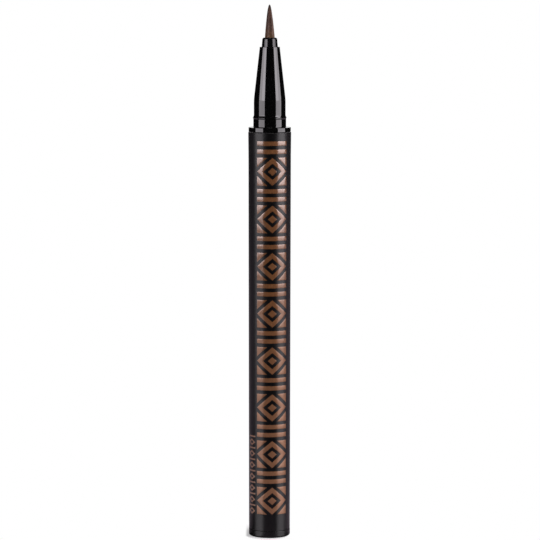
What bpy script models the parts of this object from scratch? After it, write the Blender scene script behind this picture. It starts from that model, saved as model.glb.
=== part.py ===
"""A liquid eyeliner pen with a brush tip, of the free-ink kind, shown without its cap.

The ink lies loose in the barrel with a steel ball that stirs it. A porous relay core draws it through a
finned collector, which holds what the warmth of a hand pushes out, and feeds it to the brush.

Metres, +Z up. The origin is the centre of the foot that the pen stands on.
"""

from math import atan2, cos, pi, sin, sqrt, tan

import bmesh
import bpy
from mathutils import Vector

# Fits between pieces
SLIP = 0.00005  # radial clearance of a piece in its bore
SEAT_GAP = 0.0001  # between two faces that meet
CUT_OVERRUN = 0.001  # how far a cutter runs past what it cuts

# Barrel: a moulded tube that is the ink tank, a little wider towards its mouth
BARREL_LENGTH = 0.09665
BARREL_TAIL_RADIUS = 0.00498
BARREL_WALL = 0.00098  # at the tail
BARREL_TAPER = 0.00013
BARREL_MOUTH_SWELL = 0.00006
BARREL_SWELL_LENGTH = 0.0055
BARREL_EDGE_ROUNDING = 0.00012
BARREL_LEAD_IN = 0.00025

# Tail plug: closes the tank, carries the foot and seals with two moulded ribs
PLUG_HEAD_HEIGHT = 0.00165
PLUG_HEAD_STEP = 0.00002  # its head over the tail of the barrel
PLUG_FOOT_ROUNDING = 0.00038
PLUG_EDGE_ROUNDING = 0.00012
PLUG_SPIGOT_LENGTH = 0.0062
PLUG_SPIGOT_RELIEF = 0.00022
PLUG_WALL = 0.0008
PLUG_FLOOR = 0.0022
PLUG_DISH_DEPTH = 0.0005
PLUG_RIB_COUNT = 2
PLUG_RIB_WIDTH = 0.0006
PLUG_RIB_PITCH = 0.0017
PLUG_FIRST_RIB = 0.0014

# Stirring ball
BALL_RADIUS = 0.0016

# Front section: flange, cap seat, snap bead, neck and cone in one moulding
FLANGE_SET_BACK = 0.00008  # from the barrel's mouth
FLANGE_HEIGHT = 0.00110
FLANGE_EDGE_ROUNDING = 0.00010
SEAT_RADIUS = 0.00395
SEAT_ROOT_ROUNDING = 0.00020
BEAD_HEIGHT = 0.00228  # of its crest, above the flange
BEAD_RISE = 0.00012  # crest over cap seat
BEAD_LOWER_FLANK = 0.00028
BEAD_UPPER_FLANK = 0.00050
BEAD_ROUNDING = 0.00015
NECK_STEP = 0.000125  # from the cap seat
NECK_LENGTH = 0.00660  # from the flange to the foot of the cone
NECK_BLEND_RADIUS = 0.0160
CONE_LENGTH = 0.01265
NOSE_MOUTH_RADIUS = 0.00240
NOSE_MOUTH_ROUNDING = 0.00010
SPIGOT_LENGTH = 0.0074
SPIGOT_LEAD_IN = 0.0003
SPIGOT_SEAL_DEPTH = 0.0020  # of the seal's middle, below the flange

# Seal rings: two alike, on the front section and on the collector
SEAL_SECTION_RADIUS = 0.00035
SEAL_GROOVE_WIDTH = 0.00090

# Tip holder: the small collar that the brush stands in
HOLDER_RADIUS = 0.00187
HOLDER_TAPER = 0.00014
HOLDER_PROTRUSION = 0.00220
HOLDER_TIP_ROUNDING = 0.00022
HOLDER_SEAT_LENGTH = 0.0093  # from its flange to the mouth of the cone
HOLDER_FLANGE_WIDTH = 0.00040
HOLDER_FLANGE_HEIGHT = 0.00120
HOLDER_STEP_DEPTH = 0.0041  # of the step that stops the brush, below the holder's tip
HOLDER_LEAD_IN = 0.00010

# Brush: tapered filaments bonded into a flanged root
BRUSH_RADIUS = 0.00117
BRUSH_LENGTH = 0.0079  # that shows above the holder
BRUSH_FLANGE_WIDTH = 0.00035
BRUSH_FLANGE_HEIGHT = 0.00050
BRUSH_ROOT_RECESS = 0.00050  # of the bonded root, below the holder's tip
STRAND_RINGS = 8  # 6 strands in the first, 12 more in each ring that follows
STRAND_GAP = 0.00002
KNEE_HEIGHT_SHARE = 0.55  # where filaments stop closing in, as a share of their height
KNEE_SPREAD_SHARE = 0.645
TIP_SPREAD_SHARE = 0.55
STRAND_TRIM_SHARE = 0.41  # how much shorter the outermost filaments are

# Brush retainer: the sleeve that holds the brush's root against the step
RETAINER_FLANGE_HEIGHT = 0.00090

# Relay core: a porous fibre rod
RELAY_RADIUS = 0.00075
RELAY_REACH = 0.0014  # of its pointed end, into the brush's root
RELAY_POINT_RADIUS = 0.00025
RELAY_TAIL = 0.0012  # that stands out of the collector into the ink

# Collector: fins round a bored core
FIN_COUNT = 20
FIN_PITCH = 0.00105
FIN_THICKNESS = 0.00045
FIN_TO_BORE = 0.00015
COLLECTOR_CORE_RADIUS = 0.00170
COLLECTOR_STAND_OFF = 0.00040  # from the last fin to the front section's spigot
COLLECTOR_HEAD_HEIGHT = 0.0029  # the seal's carrier
COLLECTOR_SNOUT_LENGTH = 0.0030
COLLECTOR_SNOUT_RADIUS = 0.00150
AIR_SLOT_WIDTH = 0.00090
AIR_SLOT_DEPTH = 0.00040  # past the core's surface
INK_SLIT_WIDTH = 0.00030
INK_GROOVE_DEPTH = 0.00040  # past the relay core's bore
SNOUT_WINDOW_WIDTH = 0.00080
SNOUT_WINDOW_HEIGHT = 0.0016

# Faceting
OUTER_SEGMENTS = 32
INNER_SEGMENTS = 20
RING_SEGMENTS = 8
ROUNDING_STEPS = 2
FOOT_STEPS = 4
BLEND_STEPS = 4
SHARP_ANGLE = pi / 6
WELD_DISTANCE = 0.000001

# Radii that follow from the pieces outside or inside them
barrel_mouth_radius = BARREL_TAIL_RADIUS + BARREL_TAPER + BARREL_MOUTH_SWELL
barrel_bore_radius = BARREL_TAIL_RADIUS - BARREL_WALL
flange_radius = barrel_mouth_radius - FLANGE_SET_BACK
neck_radius = SEAT_RADIUS - NECK_STEP
spigot_radius = barrel_bore_radius - SLIP
plug_cup_radius = spigot_radius - PLUG_SPIGOT_RELIEF - PLUG_WALL
holder_flange_radius = HOLDER_RADIUS + HOLDER_FLANGE_WIDTH
front_cavity_radius = holder_flange_radius + SLIP
brush_flange_radius = BRUSH_RADIUS + BRUSH_FLANGE_WIDTH
relay_bore_radius = RELAY_RADIUS + SLIP
groove_floor_radius = spigot_radius - 2 * SEAL_SECTION_RADIUS - SLIP

# Heights, stacked from the foot to the brush's tip
barrel_bottom = PLUG_HEAD_HEIGHT + SEAT_GAP
barrel_top = barrel_bottom + BARREL_LENGTH
flange_bottom = barrel_top + SEAT_GAP
flange_top = flange_bottom + FLANGE_HEIGHT
nose_mouth = flange_top + NECK_LENGTH + CONE_LENGTH
holder_tip = nose_mouth + HOLDER_PROTRUSION
holder_seat = nose_mouth - HOLDER_SEAT_LENGTH - SEAT_GAP
brush_step = holder_tip - HOLDER_STEP_DEPTH
brush_root_back = brush_step - SEAT_GAP - BRUSH_FLANGE_HEIGHT
brush_root_front = holder_tip - BRUSH_ROOT_RECESS
brush_tip = holder_tip + BRUSH_LENGTH
holder_back = holder_seat - HOLDER_FLANGE_HEIGHT
retainer_seat = holder_back - SEAT_GAP
collector_front = retainer_seat - RETAINER_FLANGE_HEIGHT - SEAT_GAP
fins_front = flange_bottom - SPIGOT_LENGTH - COLLECTOR_STAND_OFF
fins_back = fins_front - FIN_COUNT * FIN_PITCH
collector_back = fins_back - COLLECTOR_HEAD_HEIGHT - COLLECTOR_SNOUT_LENGTH
collector_seal = fins_back - COLLECTOR_HEAD_HEIGHT / 2
relay_bottom = collector_back - RELAY_TAIL
relay_top = brush_root_back + RELAY_REACH


def clear_scene():
    """Removes the objects that the file starts with."""
    for thing in list(bpy.data.objects):
        bpy.data.objects.remove(thing, do_unlink=True)


def finish_of(name, colour, roughness, metallic=0.0):
    """A Principled BSDF material of one plain finish."""
    finish = bpy.data.materials.new(name)
    finish.use_nodes = True
    shader = finish.node_tree.nodes["Principled BSDF"]
    shader.inputs["Base Color"].default_value = (*colour, 1.0)
    shader.inputs["Roughness"].default_value = roughness
    shader.inputs["Metallic"].default_value = metallic
    finish.diffuse_color = (*colour, 1.0)
    return finish


def arc_at(before, corner, after, rounding, steps):
    """Points of the arc that rounds a corner, no further than half way along either side."""
    to_before = (before - corner).normalized()
    to_after = (after - corner).normalized()
    half_angle = to_before.angle(to_after) / 2
    shortest = min((before - corner).length, (after - corner).length)
    reach = min(rounding / tan(half_angle), shortest / 2)
    radius = reach * tan(half_angle)
    centre = corner + (to_before + to_after).normalized() * (radius / sin(half_angle))
    start = corner + to_before * reach - centre
    end = corner + to_after * reach - centre
    sweep = pi - 2 * half_angle
    points = []
    for step in range(steps + 1):
        turn = sweep * step / steps
        spoke = (start * sin(sweep - turn) + end * sin(turn)) / sin(sweep)
        points.append(centre + spoke)
    return points


def outline_of(corners):
    """Outline points from corners of radius and height, then maybe a rounding, and maybe its steps."""
    points = []
    for index, corner in enumerate(corners):
        here = Vector(corner[:2])
        if len(corner) == 2:
            points.append(here)
            continue
        before = Vector(corners[index - 1][:2])
        after = Vector(corners[(index + 1) % len(corners)][:2])
        steps = corner[3] if len(corner) > 3 else ROUNDING_STEPS
        points += arc_at(before, here, after, corner[2], steps)
    return points


def turned_mesh(name, corners, segments):
    """A mesh spun round Z from an outline, a closed loop unless it starts and ends on the axis."""
    shape = bmesh.new()
    points = [shape.verts.new((point.x, 0, point.y)) for point in outline_of(corners)]
    sides = [shape.edges.new(pair) for pair in zip(points, points[1:])]
    if points[0].co.x > 0:
        sides.append(shape.edges.new((points[-1], points[0])))
    bmesh.ops.spin(
        shape,
        geom=points + sides,
        cent=(0, 0, 0),
        axis=(0, 0, 1),
        angle=2 * pi,
        steps=segments,
        use_merge=True,
    )
    bmesh.ops.remove_doubles(shape, verts=shape.verts, dist=WELD_DISTANCE)
    bmesh.ops.recalc_face_normals(shape, faces=shape.faces)
    mesh = bpy.data.meshes.new(name)
    shape.to_mesh(mesh)
    shape.free()
    return mesh


def place(name, mesh, height, finish, parent):
    """An object on the pen's axis, with its datum at a height above the foot."""
    mesh.materials.clear()
    mesh.materials.append(finish)
    mesh.shade_smooth()
    mesh.set_sharp_from_angle(angle=SHARP_ANGLE)
    piece = bpy.data.objects.new(name, mesh)
    bpy.context.scene.collection.objects.link(piece)
    piece.location = (0, 0, height)
    piece.parent = parent
    return piece


def cut_box(piece, name, low, high):
    """Cuts a box, given by two corners in the piece's own frame, out of a piece."""
    shape = bmesh.new()
    bmesh.ops.create_cube(shape, size=1)
    low = Vector(low)
    high = Vector(high)
    bmesh.ops.scale(shape, vec=high - low, verts=shape.verts)
    bmesh.ops.translate(shape, vec=(low + high) / 2, verts=shape.verts)
    mesh = bpy.data.meshes.new(name)
    shape.to_mesh(mesh)
    shape.free()
    cutter = bpy.data.objects.new(name, mesh)
    bpy.context.scene.collection.objects.link(cutter)
    cutter.parent = piece
    cutter.hide_render = True
    cutter.display_type = "WIRE"
    modifier = piece.modifiers.new(name, "BOOLEAN")
    modifier.operation = "DIFFERENCE"
    modifier.solver = "EXACT"
    modifier.object = cutter


def make_barrel(finish, parent):
    """The tank and casing: a straight bore in a wall that tapers to the tail and swells at the mouth."""
    swell_start = BARREL_LENGTH - BARREL_SWELL_LENGTH
    lead_in_radius = barrel_bore_radius + BARREL_LEAD_IN
    corners = [
        (lead_in_radius, 0),
        (BARREL_TAIL_RADIUS, 0, BARREL_EDGE_ROUNDING),
        (BARREL_TAIL_RADIUS + BARREL_TAPER, swell_start),
        (barrel_mouth_radius, BARREL_LENGTH, BARREL_EDGE_ROUNDING),
        (lead_in_radius, BARREL_LENGTH),
        (barrel_bore_radius, BARREL_LENGTH - BARREL_LEAD_IN),
        (barrel_bore_radius, BARREL_LEAD_IN),
    ]
    place("barrel", turned_mesh("barrel", corners, OUTER_SEGMENTS), barrel_bottom, finish, parent)


def make_tail_plug(finish, parent):
    """A cup-shaped plug: a flush head that is the foot, and a ribbed spigot with a dished floor."""
    head_radius = BARREL_TAIL_RADIUS + PLUG_HEAD_STEP
    body_radius = spigot_radius - PLUG_SPIGOT_RELIEF
    top = PLUG_HEAD_HEIGHT + PLUG_SPIGOT_LENGTH
    corners = [
        (0, 0),
        (head_radius, 0, PLUG_FOOT_ROUNDING, FOOT_STEPS),
        (head_radius, PLUG_HEAD_HEIGHT, PLUG_EDGE_ROUNDING),
        (body_radius, PLUG_HEAD_HEIGHT),
    ]
    for rib in range(PLUG_RIB_COUNT):
        rib_bottom = PLUG_HEAD_HEIGHT + PLUG_FIRST_RIB + rib * PLUG_RIB_PITCH
        corners += [
            (body_radius, rib_bottom),
            (spigot_radius, rib_bottom + PLUG_RIB_WIDTH / 3),
            (spigot_radius, rib_bottom + PLUG_RIB_WIDTH * 2 / 3),
            (body_radius, rib_bottom + PLUG_RIB_WIDTH),
        ]
    corners += [
        (body_radius, top, PLUG_EDGE_ROUNDING),
        (plug_cup_radius, top),
        (plug_cup_radius, PLUG_FLOOR),
        (0, PLUG_FLOOR - PLUG_DISH_DEPTH),
    ]
    place("tail_plug", turned_mesh("tail_plug", corners, OUTER_SEGMENTS), 0, finish, parent)


def make_stirring_ball(finish, parent):
    """The ball in the plug's dish, with its origin at its centre, on the axis that it travels along."""
    slope = atan2(PLUG_DISH_DEPTH, plug_cup_radius)
    centre = PLUG_FLOOR - PLUG_DISH_DEPTH + (BALL_RADIUS + SEAT_GAP) / cos(slope)
    shape = bmesh.new()
    bmesh.ops.create_uvsphere(
        shape, u_segments=INNER_SEGMENTS, v_segments=INNER_SEGMENTS // 2, radius=BALL_RADIUS
    )
    mesh = bpy.data.meshes.new("stirring_ball")
    shape.to_mesh(mesh)
    shape.free()
    place("stirring_ball", mesh, centre, finish, parent)


def make_front_section(finish, parent):
    """The glossy nose: a grooved spigot in the barrel, the flange, and a cone that holds the tip holder."""
    seat_bottom = -SPIGOT_LENGTH
    mouth = FLANGE_HEIGHT + NECK_LENGTH + CONE_LENGTH
    shoulder = mouth - HOLDER_SEAT_LENGTH
    holder_bore_radius = HOLDER_RADIUS + SLIP
    bead_crest = FLANGE_HEIGHT + BEAD_HEIGHT
    groove_top = -SPIGOT_SEAL_DEPTH + SEAL_GROOVE_WIDTH / 2
    groove_bottom = -SPIGOT_SEAL_DEPTH - SEAL_GROOVE_WIDTH / 2
    corners = [
        (front_cavity_radius, seat_bottom),
        (spigot_radius - SPIGOT_LEAD_IN, seat_bottom),
        (spigot_radius, seat_bottom + SPIGOT_LEAD_IN),
        (spigot_radius, groove_bottom),
        (groove_floor_radius, groove_bottom),
        (groove_floor_radius, groove_top),
        (spigot_radius, groove_top),
        (spigot_radius, 0),
        (flange_radius, 0, FLANGE_EDGE_ROUNDING),
        (flange_radius, FLANGE_HEIGHT, FLANGE_EDGE_ROUNDING),
        (SEAT_RADIUS, FLANGE_HEIGHT, SEAT_ROOT_ROUNDING),
        (SEAT_RADIUS, bead_crest - BEAD_LOWER_FLANK),
        (SEAT_RADIUS + BEAD_RISE, bead_crest, BEAD_ROUNDING),
        (neck_radius, bead_crest + BEAD_UPPER_FLANK),
        (neck_radius, FLANGE_HEIGHT + NECK_LENGTH, NECK_BLEND_RADIUS, BLEND_STEPS),
        (NOSE_MOUTH_RADIUS, mouth, NOSE_MOUTH_ROUNDING),
        (holder_bore_radius, mouth),
        (holder_bore_radius, shoulder),
        (front_cavity_radius, shoulder),
    ]
    mesh = turned_mesh("front_section", corners, OUTER_SEGMENTS)
    place("front_section", mesh, flange_bottom, finish, parent)


def make_seal_ring(name, height, finish, parent):
    """An O-ring that fills the groove it lies in and meets the barrel's bore."""
    middle = spigot_radius - SEAL_SECTION_RADIUS
    corners = []
    for step in range(RING_SEGMENTS):
        angle = 2 * pi * step / RING_SEGMENTS
        corners.append(
            (middle + SEAL_SECTION_RADIUS * cos(angle), SEAL_SECTION_RADIUS * sin(angle))
        )
    place(name, turned_mesh(name, corners, INNER_SEGMENTS), height, finish, parent)


def make_tip_holder(finish, parent):
    """The collar at the nose: a flange stops it in the cone, and a step inside stops the brush."""
    tip = holder_tip - holder_seat
    mouth = nose_mouth - holder_seat
    step = brush_step - holder_seat
    counterbore_radius = brush_flange_radius + SLIP
    corners = [
        (counterbore_radius, -HOLDER_FLANGE_HEIGHT),
        (holder_flange_radius, -HOLDER_FLANGE_HEIGHT, HOLDER_LEAD_IN),
        (holder_flange_radius, 0, HOLDER_LEAD_IN),
        (HOLDER_RADIUS, 0),
        (HOLDER_RADIUS, mouth),
        (HOLDER_RADIUS - HOLDER_TAPER, tip, HOLDER_TIP_ROUNDING),
        (BRUSH_RADIUS + SLIP + HOLDER_LEAD_IN, tip),
        (BRUSH_RADIUS + SLIP, tip - HOLDER_LEAD_IN),
        (BRUSH_RADIUS + SLIP, step),
        (counterbore_radius, step),
    ]
    mesh = turned_mesh("tip_holder", corners, OUTER_SEGMENTS)
    place("tip_holder", mesh, holder_seat, finish, parent)


def make_brush_retainer(finish, parent):
    """A flanged sleeve behind the brush, bored for the relay core."""
    top = brush_root_back - SEAT_GAP - retainer_seat
    corners = [
        (relay_bore_radius, -RETAINER_FLANGE_HEIGHT),
        (holder_flange_radius, -RETAINER_FLANGE_HEIGHT, HOLDER_LEAD_IN),
        (holder_flange_radius, 0, HOLDER_LEAD_IN),
        (brush_flange_radius, 0),
        (brush_flange_radius, top, HOLDER_LEAD_IN),
        (relay_bore_radius, top),
    ]
    mesh = turned_mesh("brush_retainer", corners, INNER_SEGMENTS)
    place("brush_retainer", mesh, retainer_seat, finish, parent)


def make_relay_core(finish, parent):
    """The rod that carries ink from the tank to the brush, pointed in front and eased behind."""
    length = relay_top - relay_bottom
    ease = RELAY_RADIUS / 3
    corners = [
        (0, 0),
        (RELAY_RADIUS - ease, 0),
        (RELAY_RADIUS, ease),
        (RELAY_RADIUS, length - RELAY_REACH),
        (RELAY_POINT_RADIUS, length),
        (0, length),
    ]
    mesh = turned_mesh("relay_core", corners, INNER_SEGMENTS)
    place("relay_core", mesh, relay_bottom, finish, parent)


def make_collector(finish, parent):
    """The comb: a neck, the fins, a grooved head that closes the tank, and a windowed inlet snout.

    Its datum is the back of the fins. The air slot runs up the +X side and the narrow ink slit up the
    -X side.
    """
    neck_top = collector_front - fins_back
    fins_top = FIN_COUNT * FIN_PITCH
    fin_radius = barrel_bore_radius - FIN_TO_BORE
    back = -COLLECTOR_HEAD_HEIGHT - COLLECTOR_SNOUT_LENGTH
    groove_middle = collector_seal - fins_back
    corners = [
        (relay_bore_radius, back),
        (COLLECTOR_SNOUT_RADIUS, back, HOLDER_LEAD_IN),
        (COLLECTOR_SNOUT_RADIUS, -COLLECTOR_HEAD_HEIGHT),
        (spigot_radius, -COLLECTOR_HEAD_HEIGHT, HOLDER_LEAD_IN),
        (spigot_radius, groove_middle - SEAL_GROOVE_WIDTH / 2),
        (groove_floor_radius, groove_middle - SEAL_GROOVE_WIDTH / 2),
        (groove_floor_radius, groove_middle + SEAL_GROOVE_WIDTH / 2),
        (spigot_radius, groove_middle + SEAL_GROOVE_WIDTH / 2),
        (spigot_radius, 0),
        (COLLECTOR_CORE_RADIUS, 0),
    ]
    for fin in range(1, FIN_COUNT + 1):
        fin_front = fin * FIN_PITCH
        corners += [
            (COLLECTOR_CORE_RADIUS, fin_front - FIN_THICKNESS),
            (fin_radius, fin_front - FIN_THICKNESS),
            (fin_radius, fin_front),
            (COLLECTOR_CORE_RADIUS, fin_front),
        ]
    corners[-1] = (holder_flange_radius, fins_top)
    corners += [
        (holder_flange_radius, neck_top, HOLDER_LEAD_IN),
        (relay_bore_radius, neck_top),
    ]
    mesh = turned_mesh("collector", corners, INNER_SEGMENTS)
    collector = place("collector", mesh, fins_back, finish, parent)
    outside = spigot_radius + CUT_OVERRUN
    air_floor = COLLECTOR_CORE_RADIUS - AIR_SLOT_DEPTH
    cut_box(
        collector,
        "air_slot_cutter",
        (air_floor, -AIR_SLOT_WIDTH / 2, FIN_PITCH / 4),
        (outside, AIR_SLOT_WIDTH / 2, neck_top + CUT_OVERRUN),
    )
    cut_box(
        collector,
        "ink_slit_cutter",
        (-outside, -INK_SLIT_WIDTH / 2, FIN_PITCH / 4),
        (0, INK_SLIT_WIDTH / 2, fins_top - FIN_THICKNESS),
    )
    cut_box(
        collector,
        "ink_groove_cutter",
        (-relay_bore_radius - INK_GROOVE_DEPTH, -INK_SLIT_WIDTH / 2, back - CUT_OVERRUN),
        (0, INK_SLIT_WIDTH / 2, FIN_PITCH / 2),
    )
    cut_box(
        collector,
        "snout_window_cutter",
        (-outside, -SNOUT_WINDOW_WIDTH / 2, back - CUT_OVERRUN),
        (outside, SNOUT_WINDOW_WIDTH / 2, back + SNOUT_WINDOW_HEIGHT),
    )


def disc_point(point):
    """Where a point of the unit hexagon, with a corner on +Y, lands on the unit disc, ring for ring."""
    if point.length == 0:
        return point
    sector = pi / 3
    middle = round(atan2(point.y, point.x) / sector) * sector
    outward = Vector((cos(middle), sin(middle), 0))
    sideways = Vector((-sin(middle), cos(middle), 0))
    reach = point.dot(outward) / cos(sector / 2)
    lean = point.dot(sideways) / (reach * sin(sector / 2))
    bearing = middle + lean * sector / 2
    return Vector((reach * cos(bearing), reach * sin(bearing), 0))


def make_brush(finish, parent):
    """Filaments that rise from a bonded root: they close in up to a knee and end on a pointed outline.

    Its datum is the front of the root, where the filaments start. Each cell of a triangle grid, mapped
    to the disc, is inset, raised to the knee and poked out to its own tip.
    """
    filament_length = brush_tip - brush_root_front
    knee = filament_length * KNEE_HEIGHT_SHARE
    shape = bmesh.new()
    bmesh.ops.create_circle(shape, cap_ends=True, cap_tris=True, segments=6, radius=1)
    bmesh.ops.subdivide_edges(shape, edges=shape.edges, cuts=STRAND_RINGS - 1, use_grid_fill=True)
    for vert in shape.verts:
        vert.co = disc_point(vert.co) * BRUSH_RADIUS
    cells = list(shape.faces)
    shape.normal_update()
    bmesh.ops.inset_individual(shape, faces=cells, thickness=STRAND_GAP / 2)
    raised = bmesh.ops.extrude_discrete_faces(shape, faces=cells)["faces"]
    for face in raised:
        for vert in face.verts:
            vert.co.x *= KNEE_SPREAD_SHARE
            vert.co.y *= KNEE_SPREAD_SHARE
            vert.co.z = knee
    for vert in bmesh.ops.poke(shape, faces=raised)["verts"]:
        rank = sqrt(vert.co.x**2 + vert.co.y**2) / (BRUSH_RADIUS * KNEE_SPREAD_SHARE)
        height_share = 1 - STRAND_TRIM_SHARE * rank**2
        past_knee = (height_share - KNEE_HEIGHT_SHARE) / (1 - KNEE_HEIGHT_SHARE)
        closing = 1 - past_knee * (1 - TIP_SPREAD_SHARE / KNEE_SPREAD_SHARE)
        vert.co.x *= closing
        vert.co.y *= closing
        vert.co.z = filament_length * height_share

    back = brush_root_back - brush_root_front
    socket_radius = relay_bore_radius
    rings = [
        (BRUSH_RADIUS, back + BRUSH_FLANGE_HEIGHT),
        (brush_flange_radius, back + BRUSH_FLANGE_HEIGHT),
        (brush_flange_radius, back),
        (socket_radius, back),
        (RELAY_POINT_RADIUS + SLIP, back + RELAY_REACH + SEAT_GAP),
    ]
    loop = [edge for edge in shape.edges if edge.is_boundary]
    rim_radius = BRUSH_RADIUS
    for ring_radius, ring_height in rings:
        grown = bmesh.ops.extrude_edge_only(shape, edges=loop)["geom"]
        loop = [part for part in grown if isinstance(part, bmesh.types.BMEdge) and part.is_boundary]
        for vert in {vert for edge in loop for vert in edge.verts}:
            vert.co.x *= ring_radius / rim_radius
            vert.co.y *= ring_radius / rim_radius
            vert.co.z = ring_height
        rim_radius = ring_radius
    bmesh.ops.contextual_create(shape, geom=loop)
    bmesh.ops.recalc_face_normals(shape, faces=shape.faces)
    mesh = bpy.data.meshes.new("brush")
    shape.to_mesh(mesh)
    shape.free()
    place("brush", mesh, brush_root_front, finish, parent)


def main():
    clear_scene()
    pen = bpy.data.objects.new("pen", None)
    bpy.context.scene.collection.objects.link(pen)
    soft_black = finish_of("soft_touch_black", (0.010, 0.010, 0.011), 0.42)
    gloss_black = finish_of("gloss_black", (0.004, 0.004, 0.004), 0.06)
    satin_black = finish_of("satin_black", (0.008, 0.008, 0.009), 0.18)
    brown_fibre = finish_of("brown_filament", (0.105, 0.062, 0.043), 0.45)
    white_resin = finish_of("white_resin", (0.80, 0.80, 0.77), 0.40)
    felt = finish_of("porous_fibre", (0.62, 0.55, 0.47), 0.85)
    seal_rubber = finish_of("seal_rubber", (0.025, 0.025, 0.026), 0.60)
    steel = finish_of("ball_steel", (0.60, 0.60, 0.61), 0.12, 1.0)
    make_barrel(soft_black, pen)
    make_tail_plug(soft_black, pen)
    make_stirring_ball(steel, pen)
    make_front_section(gloss_black, pen)
    make_seal_ring("section_seal_ring", flange_bottom - SPIGOT_SEAL_DEPTH, seal_rubber, pen)
    make_tip_holder(satin_black, pen)
    make_brush(brown_fibre, pen)
    make_brush_retainer(white_resin, pen)
    make_relay_core(felt, pen)
    make_collector(white_resin, pen)
    make_seal_ring("collector_seal_ring", collector_seal, seal_rubber, pen)


main()
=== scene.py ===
from math import atan2, cos, degrees, pi, radians, sin, tan

import bmesh
import bpy
from mathutils import Matrix, Vector


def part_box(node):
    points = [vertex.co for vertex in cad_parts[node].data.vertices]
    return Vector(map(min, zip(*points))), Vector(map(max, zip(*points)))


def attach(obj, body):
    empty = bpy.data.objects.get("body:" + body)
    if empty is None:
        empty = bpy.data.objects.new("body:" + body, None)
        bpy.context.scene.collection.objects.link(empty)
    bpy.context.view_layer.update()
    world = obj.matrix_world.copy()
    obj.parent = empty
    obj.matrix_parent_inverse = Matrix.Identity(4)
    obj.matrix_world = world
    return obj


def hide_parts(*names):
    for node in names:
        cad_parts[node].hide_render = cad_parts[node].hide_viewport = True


mm = 0.001
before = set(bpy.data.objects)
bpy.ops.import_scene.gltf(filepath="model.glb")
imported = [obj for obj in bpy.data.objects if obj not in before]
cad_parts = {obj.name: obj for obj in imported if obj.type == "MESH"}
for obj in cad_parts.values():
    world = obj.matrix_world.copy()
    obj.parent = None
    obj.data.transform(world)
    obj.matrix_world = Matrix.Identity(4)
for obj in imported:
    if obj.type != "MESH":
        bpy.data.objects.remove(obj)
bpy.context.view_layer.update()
penBody = "pen"
hardEdge = 40  # degrees between two faces, from which their edge is drawn sharp
slip = 0.05  # mm, round a piece that slides into a bore
brushFlangeWidth = 0.31  # mm, of the root's flange beyond the filaments
collarRadius = 1.94  # mm, of the tip holder where it leaves the nose
barrelForm = {"taper": 0.13, "mouth swell": 0.06, "swell length": 5.5}  # mm, and the foil follows it


# Small tools

def cadBox(node):
    low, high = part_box(node)
    return low / mm, high / mm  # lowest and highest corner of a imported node, in mm


def linearColour(hexValue):
    channels = [int(hexValue[place:place + 2], 16) / 255 for place in (1, 3, 5)]
    return [c / 12.92 if c <= 0.04045 else ((c + 0.055) / 1.055) ** 2.4 for c in channels] + [1]


def addNode(tree, kind, settings=None, inputs=None):
    node = tree.nodes.new(kind)
    for name, value in (settings or {}).items():
        setattr(node, name, value)
    for key, value in (inputs or {}).items():
        if isinstance(value, bpy.types.NodeSocket):
            tree.links.new(value, node.inputs[key])
        else:
            node.inputs[key].default_value = value
    return node


def addObject(name, data):
    thing = bpy.data.objects.new(name, data)
    bpy.context.scene.collection.objects.link(thing)
    return thing


def meshFrom(shape, name):
    mesh = bpy.data.meshes.new(name)
    shape.to_mesh(mesh)
    shape.free()
    return mesh


def startMaterial(name):
    material = bpy.data.materials.new(name)
    material.use_nodes = True
    tree = material.node_tree
    tree.nodes.clear()
    return material, tree, addNode(tree, "ShaderNodeTexCoord").outputs["Object"]


def finishMaterial(material, qualities):
    # a quality is a fixed value or the output of a pattern
    shader = addNode(material.node_tree, "ShaderNodeBsdfPrincipled", inputs=qualities)
    addNode(material.node_tree, "ShaderNodeOutputMaterial", inputs={"Surface": shader.outputs["BSDF"]})
    return material


def cornerArc(before, corner, after, radius, steps):
    toBefore = (before - corner).normalized()
    toAfter = (after - corner).normalized()
    half = toBefore.angle(toAfter) / 2
    reach = min(radius / tan(half), (before - corner).length / 2, (after - corner).length / 2)
    radius = reach * tan(half)
    centre = corner + (toBefore + toAfter).normalized() * (radius / sin(half))
    start = corner + toBefore * reach - centre
    end = corner + toAfter * reach - centre
    sweep = pi - 2 * half
    # one more point past each end of the arc keeps the long wall's shading straight
    hold = min(reach / 3, (before - corner).length / 2 - reach, (after - corner).length / 2 - reach)
    points = [corner + toBefore * (reach + hold)] if hold > 0 else []
    for step in range(steps + 1):
        turn = sweep * step / steps
        points.append(centre + (start * sin(sweep - turn) + end * sin(turn)) / sin(sweep))
    return points + ([corner + toAfter * (reach + hold)] if hold > 0 else [])


def turnedPiece(name, corners, segments, finish, arcSteps=6):
    # corners are (radius, height) or (radius, height, rounding) in mm, outside first, going up
    outline = []
    for index, corner in enumerate(corners):
        here = Vector(corner[:2])
        if len(corner) == 2:
            outline.append(here)
            continue
        before = Vector(corners[index - 1][:2])
        after = Vector(corners[(index + 1) % len(corners)][:2])
        outline += cornerArc(before, here, after, corner[2], arcSteps)
    shape = bmesh.new()
    points = [shape.verts.new((point.x * mm, 0, point.y * mm)) for point in outline]
    sides = [shape.edges.new(pair) for pair in zip(points, points[1:])]
    if points[0].co.x > 0:
        sides.append(shape.edges.new((points[-1], points[0])))
    bmesh.ops.spin(shape, geom=points + sides, cent=(0, 0, 0), axis=(0, 0, 1), angle=2 * pi,
                   steps=segments, use_merge=True)
    bmesh.ops.remove_doubles(shape, verts=shape.verts, dist=0.0001 * mm)
    bmesh.ops.recalc_face_normals(shape, faces=shape.faces)
    return finishedPiece(name, meshFrom(shape, name), finish)


def finishedPiece(name, mesh, finish):
    mesh.materials.clear()
    mesh.materials.append(finish)
    mesh.shade_smooth()
    mesh.set_sharp_from_angle(angle=radians(hardEdge))
    print(name + ":", len(mesh.polygons), "faces")
    return addObject(name, mesh)


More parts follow.
